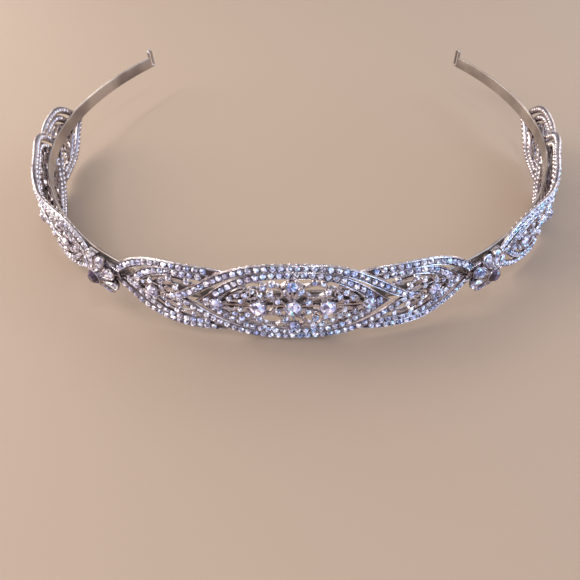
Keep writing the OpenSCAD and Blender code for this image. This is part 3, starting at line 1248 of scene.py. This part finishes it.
    def fill(
        self,
        stem: str,
        openwork: str,
        metal: list[Obj],
        rows: tuple[list[Place], list[Place]],
        small: Iterable[Stone],
        main: Sequence[tuple[str, Stone]],
        seed: int,
    ) -> None:
        """Sets every stone in a casting, joins its metal and dresses all of it.

        Args:
            stem: What the names of the casting and its row of stones start with.
            openwork: Name of the openwork's stones.
            metal: The casting's metal.
            rows: Places of the outer and the inner row's stones.
            small: The openwork's stones.
            main: The main stones, each with what it is called on its panel.
            seed: Seed of the openwork's stones.
        """
        silver, crystal = self.finishes.silver, self.finishes.crystal
        outer, inner = rows
        taken = [(s.x, s.y, s.d / 2) for _, s in main]
        inner = apart(inner, [(x, y, self.row_gap) for x, y in outer])
        inner = apart(inner, [(x, y, r + self.stone_gap) for x, y, r in taken])
        row_name = f"{stem}_row_crystals"
        row_stones, beads = self.set_rows(row_name, (outer, inner))
        metal += beads
        set_stones = self.set_small(small, taken, metal)
        open_stones = Bench.join(set_stones)
        sparkle(open_stones, len(set_stones), seed)
        for label, place in main:
            piece, parts = self.set_stone(place)
            node = f"{self.panel.name}_stone_{label}"
            crystal.dress(piece, f"{self.panel.name}_{label}_crystal", node)
            metal += parts
        casting = Bench.soften(Bench.join(metal), self.sharp)
        silver.dress(casting, f"{stem}_casting", f"{stem}_frame")
        crystal.dress(row_stones, row_name, *ROW_NODES.get(stem, ()))
        crystal.dress(open_stones, openwork)


@dataclass
class CentreFrame(Casting):
    """The pointed casting in the middle of a panel.

    The stones, runs and leaves of its openwork are given for one quarter and mirrored into the
    others. The quarters' ovals and small stones come in two sets that lie crosswise.
    """

    stones: tuple[tuple[str, int, Stone], ...] = (
        ("centre", 0, Stone(0, -0.5, 3.6)),
        ("inner", -1, Stone(-7.3, -0.5, 3.5)),
        ("inner", 1, Stone(7.3, -0.5, 3.5)),
        ("top", 0, Stone(0, 6, 2.6)),
        ("bottom", 0, Stone(0, -6.2, 2.4)),
        ("tip", -1, Stone(-16, 0.2, 2.7)),
        ("tip", 1, Stone(16, 0.2, 2.7)),
    )
    small: tuple[tuple[Stone, ...], tuple[Stone, ...]] = (
        placed(
            (4.1, 6.5, 1.4), (6.0, 5.6, 1.4), (4.7, 3.7, 1.5), (3.2, 1.6, 1.3), (1.3, 4.7, 1.3),
            (6.8, 3.3, 1.2), (10.0, 3.2, 1.3), (11.6, 3.1, 1.2), (13.2, 2.1, 1.2),
            (8.3, 4.5, 1.1), (10.9, 1.5, 1.1),
        ),
        placed(
            (1.8, 4.4, 1.5), (3.2, 1.4, 1.3), (7.4, 4.2, 1.5), (9.8, 2.7, 1.3), (11.1, 3.9, 1.4),
            (12.5, 2.5, 1.2), (11.2, 1.2, 1.1), (4.6, 7.0, 1.1), (6.4, 6.6, 1.0),
        ),
    )
    ovals: tuple[tuple[float, ...], ...] = ((4.4, 4.0, 2.35, 2.1), (4.7, 4.4, 2.5, 1.85))
    runs: tuple[Run, ...] = (
        ((0.3, 1.9), (1.2, 2.9), (1.9, 4.0)),
        ((6.6, 3.6), (7.6, 4.9), (8.9, 4.6), (9.8, 3.4)),
        ((12.6, 1.4), (13.8, 0.9), (15, 0.5)),
        ((2.2, 5.6), (1.2, 6.5), (0.4, 7.2)),
        ((5.9, 1.7), (7.6, 2.3), (9.3, 1.9), (11.6, 0.9)),
        ((4.0, 0.8), (3.9, 1.8), (4.6, 2.6)),
        ((9.6, 5.2), (11.4, 5.4), (13.4, 4.0), (15.0, 2.0)),
        ((5.8, 6.0), (7.0, 7.0), (8.0, 7.2)),
        ((1.6, 0.9), (2.6, 1.4), (3.4, 2.8)),
    )
    leaves: tuple[Leaf, ...] = (
        ((1.7, 0.7), (5.4, 2.3), 1.5),
        ((8.9, 0.5), (13.8, 1.2), 1.1),
        ((5.3, 2.1), (8.8, 2.4), 0.9),
        ((0.2, 2.2), (1.6, 3.8), 1.1),
    )
    long_leaf: Place = (11.3, 2.8)
    leaf_turn: float = math.radians(-24)
    mid: float = -0.5
    thick: float = 0.7
    thin: float = 0.55
    loop_steps: int = 28
    lobe: Place = (2.7, 1.15)
    lobe_skew: float = 0.35
    vein: float = 2.4
    bar: Place = (0.3, 19.5)
    post: Place = (0.5, 8)
    leaf_sunk: float = 0.05
    tendril_sunk: float = 0.1
    bar_sunk: float = 0.15
    post_sunk: float = 0.2
    grain_up: float = 0.02
    grain_d: float = 0.24

    def scrolls(self) -> list[Obj]:
        """The openwork's loops, leaves, tendrils and bars, with beads along them.

        Returns:
            The pieces.
        """
        made, beads = [], []
        shift, angle = (0, self.mid), around(self.loop_steps)
        length, width = self.lobe
        lobe = width * np.sin(angle) * (1 - self.lobe_skew * np.cos(angle))
        leaf = self.turned(np.stack([length * np.cos(angle), lobe], 1))
        vein = self.turned(straight(-self.vein, self.vein, 7))
        for sx in SIDES:
            for mirror in ((sx, sy) for sy in SIDES):
                x, y, a, b = self.ovals[mirror[0] == mirror[1]]
                oval = np.stack([x + a * np.cos(angle), y + b * np.sin(angle)], 1)
                for path, wide, sunk in ((oval, self.thick, 0), (leaf, self.thin, self.leaf_sunk)):
                    path = path * mirror + shift
                    made.append(self.wire(path, wide, self.front - sunk, True))
                    beads += list(path[::3])
                made += [self.leaf(shape, mirror, self.mid) for shape in self.leaves]
                for run in (vein, *map(smooth, self.runs)):
                    path = run * mirror + shift
                    made.append(self.wire(path, self.thin, self.front - self.tendril_sunk))
                    beads += list(path[1::3])
            bar = straight(*self.bar, 12) * (sx, 1) + shift
            made.append(self.wire(bar, self.thick, self.front - self.bar_sunk))
            post = straight(*self.post, 8)[:, ::-1] * (1, sx) + shift
            made.append(self.wire(post, self.thick, self.front - self.post_sunk))
        places = [self.seat(x, y, self.front + self.grain_up, self.grain_d) for x, y in beads]
        return made + Bench.copies(self.kit.grain, places)

    def turned(self, path: np.ndarray) -> np.ndarray:
        """A path turned and moved to where the long leaf lies."""
        c, s = math.cos(self.leaf_turn), math.sin(self.leaf_turn)
        return path @ np.array([[c, s], [-s, c]]) + self.long_leaf

    def build(self) -> None:
        """Builds and dresses the casting, its rows of stones and its main stones."""
        name = self.panel.name
        lines = (CENTRE_OUTER, CENTRE_INNER)
        metal = [*map(self.rail, lines), self.edging(CENTRE_OUTER), *self.scrolls()]
        rows = tuple(map(self.along_row, lines))
        small = [
            Stone(s.x * sx, s.y * sy + self.mid, s.d)
            for sx in SIDES
            for sy in SIDES
            for s in self.small[sx == sy]
        ]
        main = [(f"{self.panel.side(k)}_{kind}" if k else kind, s) for kind, k, s in self.stones]
        self.fill(f"{name}_centre", f"{name}_scroll_crystals", metal, rows, small, main, 5)


@dataclass
class SideFrame(Casting):
    """A lower casting that runs out from behind a centre frame.

    Its openwork is given for one half of one side and mirrored into the rest. Its outer row has no
    stones where the wire beside a rosette is bound over it.
    """

    side: int = 1
    shift: float = 22.5
    outer: tuple[float, ...] = (23, 9.6, 3, 1.75)
    inner: tuple[float, ...] = (17, 7.9, 3, 1.75)
    margin: float = 0.75
    cut: Outline = Outline(27.68, 11.3, 3, 1.75)
    bound: tuple[Place, ...] = ((40.6, 45.0), (47.1, 50.7))
    vine: Run = ((19.5, 3.6), (24.5, 5), (28.8, 4.1), (31.5, 2.2), (37.4, 0.6))
    stones: tuple[tuple[str, Stone], ...] = (
        ("flank", Stone(30.6, 0, 2.7)),
        ("outer", Stone(34.8, 0, 1.9)),
    )
    small: tuple[Stone, ...] = placed(
        (24.7, 2.6, 1.3), (25.9, 4.9, 1.3), (27.9, 3.6, 1.3), (28.2, 1.7, 1.1),
        (30.9, 2.5, 1.2), (32.9, 1.6, 1.0), (37.0, 0.9, 0.9), (21.9, 5.0, 1.2),
    )
    runs: tuple[Run, ...] = (
        ((24.0, 1.8), (25.6, 1.6), (27.0, 2.4), (27.0, 3.6), (25.4, 3.9)),
        ((28.0, 0.4), (28.8, 1.5), (30.2, 1.9), (32.0, 1.3)),
        ((22.0, 6.2), (24.5, 6.3), (26.8, 5.2)),
        ((32.0, 1.0), (33.8, 1.6), (36.0, 1.2)),
    )
    leaves: tuple[Leaf, ...] = (
        ((24.8, 0.7), (29.2, 1.3), 1.3),
        ((25.0, 3.4), (28.6, 2.4), 1.2),
        ((35.8, 0.5), (39.0, 0.4), 0.8),
    )
    vine_w: float = 0.75
    tendril_w: float = 0.5
    tendril_sunk: float = 0.05
    bar: Place = (27.5, 38.5)
    bar_w: float = 0.7
    bar_sunk: float = 0.15
    cut_steps: int = 90
    cut_least: float = 0.02
    cut_out: Place = (6, -1.5)

    def cutter(self) -> Obj:
        """The block that the centre frame takes out of this casting.

        Returns:
            The block.
        """
        half = self.cut.half_length
        x = half * np.cos(np.linspace(0.0, math.pi, self.cut_steps))
        h = self.cut.half_height * (1 - np.abs(x / half) ** self.cut.power) ** self.cut.taper
        h = np.maximum(h, self.cut_least)
        far, near = self.cut_out
        corners = ((1, far), (-1, far), (-1, near), (1, near))
        rails = [lift(self.panel.place(np.stack([x, h * k], 1)), o) for k, o in corners]
        return self.band.skin(rails)

    def free(self, outline: Outline) -> list[Place]:
        """Places for a row's stones, clear of the centre frame."""
        return [at for at in self.along_row(outline) if not CENTRE_OUTER.holds(*at, self.margin)]

    def build(self) -> None:
        """Builds and dresses the casting and its stones."""
        side, k = self.panel.side(self.side), self.side
        lines = [Outline(*line, k * self.shift) for line in (self.outer, self.inner)]
        metal = [*map(self.rail, lines), self.edging(lines[0])]
        for mirror in ((k, sy) for sy in SIDES):
            metal.append(self.wire(smooth(self.vine) * mirror, self.vine_w, self.front))
            metal += [self.leaf(shape, mirror) for shape in self.leaves]
            for run in map(smooth, self.runs):
                low = self.front - self.tendril_sunk
                metal.append(self.wire(run * mirror, self.tendril_w, low))
        bar = straight(*self.bar, 8) * (k, 1)
        metal.append(self.wire(bar, self.bar_w, self.front - self.bar_sunk))
        cutter = self.cutter()
        for part in metal:
            Bench.apply(part, "BOOLEAN", operation="DIFFERENCE", solver="EXACT", object=cutter)
        Bench.drop(cutter)
        outer, inner = map(self.free, lines)
        for start, end in self.bound:
            near = [abs(self.panel.place((x, y))[0]) for x, y in outer]
            outer = [place for place, s in zip(outer, near) if not start < s < end]
        small = [Stone(s.x * k, s.y * sy, s.d) for sy in SIDES for s in self.small]
        main = [(f"{side}_{kind}", Stone(s.x * k, s.y, s.d)) for kind, s in self.stones]
        stem = f"{self.panel.name}_{side}"
        self.fill(stem, f"{stem}_vine_crystals", metal, (outer, inner), small, main, 7)


def rounded(h: float, t: float, r: float) -> list[Place]:
    """A rectangle with rounded corners.

    Args:
        h: Half its height.
        t: Half its thickness.
        r: Radius of its corners.
    Returns:
        Places round it.
    """
    places = []
    for quarter, (sh, st) in enumerate(((1, 1), (-1, 1), (-1, -1), (1, -1))):
        for step in (0, 30, 60, 90):
            a = math.radians(90 * quarter + step)
            places.append((sh * (h - r) + r * math.cos(a), st * (t - r) + r * math.sin(a)))
    return places


@dataclass
class SpringBand:
    """The steel strip and the wire loop at each tip."""

    band: Band
    finishes: Finishes
    height: float = 3.5
    thick: float = 0.7
    round_edge: float = 0.22
    loop_wire: float = 0.8
    loop_l: float = 2.3
    loop_h: float = 6.2
    loop_up: float = 1.3
    loop_in: float = 0.2

    def strip(self) -> Obj:
        """The strip with rounded edges, from tip to tip.

        Returns:
            The strip.
        """
        s = np.linspace(-self.band.end, self.band.end, 241)
        section = rounded(self.height / 2, self.thick / 2, self.round_edge)
        return self.band.skin([lift(np.stack([s, np.full_like(s, h)], 1), o) for h, o in section])

    def loop(self, side: int) -> Obj:
        """The wire loop at one tip.

        Args:
            side: -1 for the left tip, 1 for the right one.
        Returns:
            The loop.
        """
        radius = (self.loop_l - self.loop_wire) / 2
        half = (self.loop_h - self.loop_l) / 2
        angle, w = around(40), self.loop_wire / 2
        c, s = np.cos(angle), np.sin(angle)
        x, y = radius * c, radius * s + np.where(s >= 0, half, -half)
        rings = []
        for a in around(10):
            grow = w * math.cos(a)
            rings.append(lift(np.stack([x + grow * c, y + grow * s], 1), w * math.sin(a)))
        obj = Bench.skin(np.stack(rings, 1) * MM, True)
        shift = (side * (self.loop_l / 2 - self.loop_in) * MM, self.loop_up * MM, 0)
        obj.data.transform(self.band.seat(side * self.band.end, 0, 0) @ Matrix.Translation(shift))
        return obj

    def build(self) -> None:
        """Builds and dresses the band."""
        band = Bench.soften(Bench.join([self.strip(), self.loop(-1), self.loop(1)]), 40)
        self.finishes.steel.dress(band, "spring_band", "headband")


@dataclass
class Binding:
    """The wire wrapped over a side frame's tip in front of the strip, on each side of a rosette.

    Starts, turns and heights are those of the binding nearer the front, then of the other one.
    """

    band: Band
    finishes: Finishes
    side: int
    starts: tuple[float, float] = (39.9, 47.7)
    turns: tuple[int, int] = (8, 5)
    heights: tuple[Place, Place] = ((0.3, -2.7), (1.3, -2.9))
    pitch: float = 0.6
    wire: float = 0.5
    half_depth: float = 0.7
    corner: float = 0.45
    out: float = 1.15

    def turn(self, s: float, top: float, low: float) -> Obj:
        """One turn of the wire, a rounded loop.

        Args:
            s: Its distance along the band.
            top: Height of its upper end.
            low: Height of its lower end.
        Returns:
            The turn.
        """
        loop = np.array(rounded((top - low) / 2, self.half_depth, self.corner))
        loop = loop + ((top + low) / 2, self.out)
        away = loop - loop.mean(0)
        away = away / np.linalg.norm(away, axis=1, keepdims=True)
        rings = []
        for a in around(6):
            place = loop + away * self.wire / 2 * math.cos(a)
            along = np.full((len(loop), 1), self.side * s + self.wire / 2 * math.sin(a))
            rings.append(np.concatenate([along, place], 1))
        return self.band.skin(rings, True)

    def build(self) -> None:
        """Builds and dresses both bindings of one side."""
        turns = []
        for start, count, heights in zip(self.starts, self.turns, self.heights):
            turns += [self.turn(start + k * self.pitch, *heights) for k in range(count)]
        binding = unshaded(Bench.soften(Bench.join(turns), 60))
        side = "left" if self.side < 0 else "right"
        self.finishes.silver.dress(binding, f"{side}_bindings")


@dataclass
class Rosette:
    """A raised rosette: petal cups round a tall cone with a dark stone.

    Each shape's levels are its radius or growth and its height, from foot to top. A skirt's level
    also has its share of the flutes, and a pear stone's the turn of its corners.
    """

    band: Band
    finishes: Finishes
    kit: Findings
    side: int
    along: float = 45.4
    height: float = -2.0
    out: float = 1.47
    ring: float = 3.95
    petals: int = 8
    petal_d: float = 2.4
    petal_h: float = 1.6
    petal_rise: float = 0.2
    petal_tilt: float = math.radians(20)
    cone_top: float = 3.2
    centre_d: float = 3.5
    flute: float = 0.13
    flutes: int = 24
    # Height under which shade is painted on the setting, and over what height it darkens fully
    deep: float = 1.45
    fade: float = 0.7
    cup: Run = (
        (0.55, 0.0), (0.95, 0.5), (1.22, 1.35), (1.27, 1.62), (1.16, 1.66), (1.04, 1.5),
        (0.9, 1.18), (0.3, 1.12),
    )
    pear: tuple[Triple, ...] = (
        (0.5, -0.35, 0.0), (0.93, -0.12, 0.0), (1.02, 0.0, 0.5), (0.8, 0.26, 0.0), (0.5, 0.42, 0.5),
    )
    cone: Run = (
        (1.5, 0.0), (1.45, 1.0), (1.6, 1.9), (1.85, 2.7), (2.04, 3.1), (2.05, 3.22), (1.95, 3.27),
        (1.8, 3.2), (1.72, 2.85), (0.4, 2.75),
    )
    skirt: tuple[Triple, ...] = (
        (1.2, 1.0, 0.0), (1.2, 2.3, 0.0), (1.75, 2.25, 0.5), (2.5, 1.95, 1.0), (3.25, 1.5, 1.0),
        (3.45, 1.2, 0.6), (3.3, 0.9, 0.0),
    )
    plate: Run = (
        (0.9, -0.9), (0.9, -0.05), (3.6, 0.0), (3.9, 0.15), (3.9, 0.5), (3.5, 0.75), (0.5, 0.8),
    )

    @property
    def frame(self) -> Matrix:
        """The rosette's own place on the wall."""
        return self.band.seat(self.side * self.along, self.height, self.out)

    def petal_frames(self) -> list[Matrix]:
        """The places of the petal cups.

        Returns:
            A matrix for each.
        """
        shift = Matrix.Translation((self.ring * MM, 0, self.petal_rise * MM))
        tilt = Matrix.Rotation(self.petal_tilt, 4, "Y")
        turns = [Matrix.Rotation(math.radians(45 * i + 22.5), 4, "Z") for i in range(self.petals)]
        return [self.frame @ (turn @ shift) @ tilt for turn in turns]

    def pear_ring(self, angle: np.ndarray, grow: float, z: float, point: float) -> np.ndarray:
        """A pear-shaped section, round at the stone and narrow toward the middle.

        Args:
            angle: Where its places lie round it.
            grow: Its size against the petal's.
            z: Its height.
            point: How far its narrow end is drawn out.
        Returns:
            The places, in millimetres.
        """
        inward = np.maximum(0, -np.cos(angle))
        r = self.petal_d / 2 * grow
        x = r * np.cos(angle) * (1 + point * inward**2.2)
        return lift(np.stack([x, r * np.sin(angle) * (1 - 0.35 * inward)], 1), z)

    def petal_models(self) -> tuple[Obj, Obj]:
        """A petal cup, and the pear-cut stone that fills it.

        Returns:
            The two models.
        """
        cup = [self.pear_ring(around(28), grow, z, 0.85) for grow, z in self.cup]
        pear = []
        for grow, z, shift in self.pear:
            angle = (np.arange(12) + shift) * math.pi / 6
            pear.append(self.pear_ring(angle, grow, z + self.petal_h - 0.06, 0.75))
        return Bench.skin(np.stack(cup) * MM), Bench.skin(np.stack(pear) * MM)

    def turned(self, levels: Iterable[Triple], steps: int) -> list[np.ndarray]:
        """The rings of a round shape.

        Args:
            levels: Radius, height and share of the flutes at each.
            steps: Number of steps round it.
        Returns:
            The places of each, in metres.
        """
        a = around(steps)
        c, s, flute = np.cos(a), np.sin(a), self.flute * np.cos(self.flutes * a)
        return [np.stack([r * c, r * s, z + flute * wave], 1) * MM for r, z, wave in levels]

    def build(self) -> None:
        """Builds and dresses the rosette and its stones."""
        name = "left" if self.side < 0 else "right"
        cup, pear = self.petal_models()
        metal = Bench.copies(cup, self.petal_frames())
        cone, plate = ([(*level, 0) for level in levels] for levels in (self.cone, self.plate))
        metal.append(Bench.skin(np.stack(self.turned(cone, 40))))
        metal.append(Bench.skin(np.stack(self.turned(self.skirt, 96), 1), True))
        metal.append(Bench.skin(np.stack(self.turned(plate, 32))))
        for part in metal[-3:]:
            part.data.transform(self.frame)
        setting = Bench.soften(Bench.join(metal), 45)
        # Painted shade: the setting darker toward its foot
        back = np.array(self.frame.inverted())
        rise = (Bench.points(setting) @ back[2, :3] + back[2, 3]) / MM
        paint(setting, "recess_shade", np.clip((self.deep - rise) / self.fade, 0, 0.9))
        self.finishes.silver.dress(setting, f"{name}_rosette_setting", f"{name}_rosette")
        middle = self.frame @ Matrix.Translation((0, 0, (self.cone_top - 0.1) * MM))
        scale = Matrix.Scale(self.centre_d * MM, 4)
        dark = Bench.copies(self.kit.brilliant, [middle @ scale])[0]
        sparkle(dark, 1, 3)
        self.finishes.dark.dress(dark, f"{name}_rosette_crystal", f"{name}_rosette_stone")
        petals = Bench.join(Bench.copies(pear, self.petal_frames()))
        Bench.drop(cup, pear)
        sparkle(petals, self.petals, 9, *PETAL_LOOK)
        self.finishes.crystal.dress(petals, f"{name}_petal_crystals", f"{name}_petal_stones")


# Studio


@dataclass(frozen=True)
class Softbox:
    """An area light that faces the tiara."""

    name: str
    azimuth: float
    elevation: float
    distance: float
    size: Place
    power: float
    colour: Colour = (1, 1, 1)

    def build(self) -> None:
        """Adds the light."""
        a, e = math.radians(self.azimuth), math.radians(self.elevation)
        back = Vector((math.sin(a) * math.cos(e), -math.cos(a) * math.cos(e), math.sin(e)))
        data = bpy.data.lights.new(self.name, "AREA")
        data.shape, data.size, data.size_y = "RECTANGLE", *self.size
        data.energy, data.color = self.power, self.colour
        obj = bpy.data.objects.new(self.name, data)
        obj.location = back * self.distance
        obj.rotation_euler = (-back).to_track_quat("-Z", "Y").to_euler()
        bpy.context.scene.collection.objects.link(obj)


@dataclass(frozen=True)
class Studio:
    """Floor, lights and the camera at the photograph's angle."""

    focal_px: float = 670.0
    frame_px: float = 580.0
    shift_px: float = 40.0
    elevation: float = math.radians(40)
    yaw: float = math.radians(0.74)
    roll: float = math.radians(0.20)
    distance: float = 158.2
    target: Triple = (8.0, 13.6, -9.68)
    floor_size: float = 6.0
    world: tuple[float, ...] = (0.90, 0.89, 0.92, 1)
    world_strength: float = 0.57
    lights: tuple[Softbox, ...] = (
        Softbox("left_wall", -84, 26, 0.7, (0.6, 0.4), 3.2, (1.0, 0.90, 0.80)),
        Softbox("right_wall", 70, 28, 0.8, (0.5, 0.4), 1.0, (0.56, 0.72, 1.0)),
        Softbox("key", -35, 62, 0.75, (0.30, 0.22), 0.6, (1.0, 0.95, 0.89)),
        Softbox("window", 115, 40, 0.8, (0.5, 0.3), 0.9, (0.66, 0.78, 1.0)),
        Softbox("back", 183, 38, 0.9, (2.0, 0.5), 2.5, (1.0, 0.93, 0.86)),
        Softbox("right_low", 60, 8, 1.1, (0.95, 0.28), 6.0, (0.42, 0.64, 1.0)),
        Softbox("left_low", -132, 10, 1.1, (0.95, 0.32), 3.4, (1.0, 0.88, 0.76)),
        Softbox("right_back_low", 132, 10, 1.1, (0.95, 0.32), 1.5, (1.0, 0.92, 0.88)),
        Softbox("left_top", -100, 50, 0.38, (0.16, 0.12), 0.26, (1.0, 0.93, 0.85)),
        Softbox("spark_left", -70, 50, 0.7, (0.08, 0.08), 0.5),
        Softbox("spark_right", 30, 70, 0.7, (0.08, 0.08), 0.5, (0.85, 0.9, 1.0)),
        Softbox("spark_front", 5, 30, 0.7, (0.1, 0.06), 0.25),
    )

    def camera(self, band: Band) -> None:
        """Adds the camera where the photograph was taken from.

        Args:
            band: The band that it looks at.
        """
        e, yaw = self.elevation, self.yaw
        look = Vector((math.sin(yaw) * math.cos(e), math.cos(yaw) * math.cos(e), -math.sin(e)))
        right = Vector((math.cos(yaw), -math.sin(yaw), 0))
        up = right.cross(look)
        c, s = math.cos(self.roll), math.sin(self.roll)
        right, up = c * right + s * up, c * up - s * right
        aim = Vector(self.target) + Vector((0, band.middle_y, band.z))
        place = (aim - self.distance * look) * MM
        data = bpy.data.cameras.new("camera")
        data.lens = data.sensor_width * self.focal_px / self.frame_px
        data.shift_x = -self.shift_px / self.frame_px
        data.clip_start, data.clip_end = 0.005, 10
        obj = bpy.data.objects.new("camera", data)
        turn = Matrix((right, up, -look)).transposed()
        obj.matrix_world = Matrix.Translation(place) @ turn.to_4x4()
        bpy.context.scene.collection.objects.link(obj)
        bpy.context.scene.camera = obj

    def build(self, band: Band) -> None:
        """Builds the whole studio.

        Args:
            band: The band that the camera looks at.
        """
        Bench.clear()
        bpy.ops.mesh.primitive_plane_add(size=self.floor_size)
        floor = bpy.context.object
        floor.name = "floor"
        floor.data.materials.append(Paper().make())
        for light in self.lights:
            light.build()
        world = bpy.data.worlds.new("studio")
        world.use_nodes = True
        sky = world.node_tree.nodes["Background"].inputs
        sky["Color"].default_value, sky["Strength"].default_value = self.world, self.world_strength
        bpy.context.scene.world = world
        bpy.context.scene.view_settings.view_transform = "Standard"
        self.camera(band)


# The tiara


def middle_of_band(band: Band) -> float:
    """The band's front in y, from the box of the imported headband.

    Args:
        band: The band, still at its own middle.
    Returns:
        The distance in millimetres.
    """
    h, o = SpringBand.height / 2, SpringBand.thick / 2
    out = (o - band.bow * (h / band.bow_h) ** 2) * math.cos(band.lean)
    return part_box("headband")[0].y / MM + h * math.sin(band.lean) + out


def main() -> None:
    """Builds every piece, then the studio."""
    logging.basicConfig(level=logging.INFO, format="%(message)s")
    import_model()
    band = Band(middle_y=middle_of_band(Band()))
    finishes = Finishes()
    kit = Findings()
    SpringBand(band, finishes).build()
    for panel in PANELS:
        CentreFrame(band, panel, finishes, kit, CENTRE_FRONT).build()
        for side in SIDES:
            SideFrame(band, panel, finishes, kit, SIDE_FRONT, side=side).build()
    for side in SIDES:
        Binding(band, finishes, side).build()
        Rosette(band, finishes, kit, side).build()
    Bench.drop(*(part for part in vars(kit).values() if isinstance(part, Obj)))
    Studio().build(band)
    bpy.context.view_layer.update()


if __name__ == "__main__":
    main()
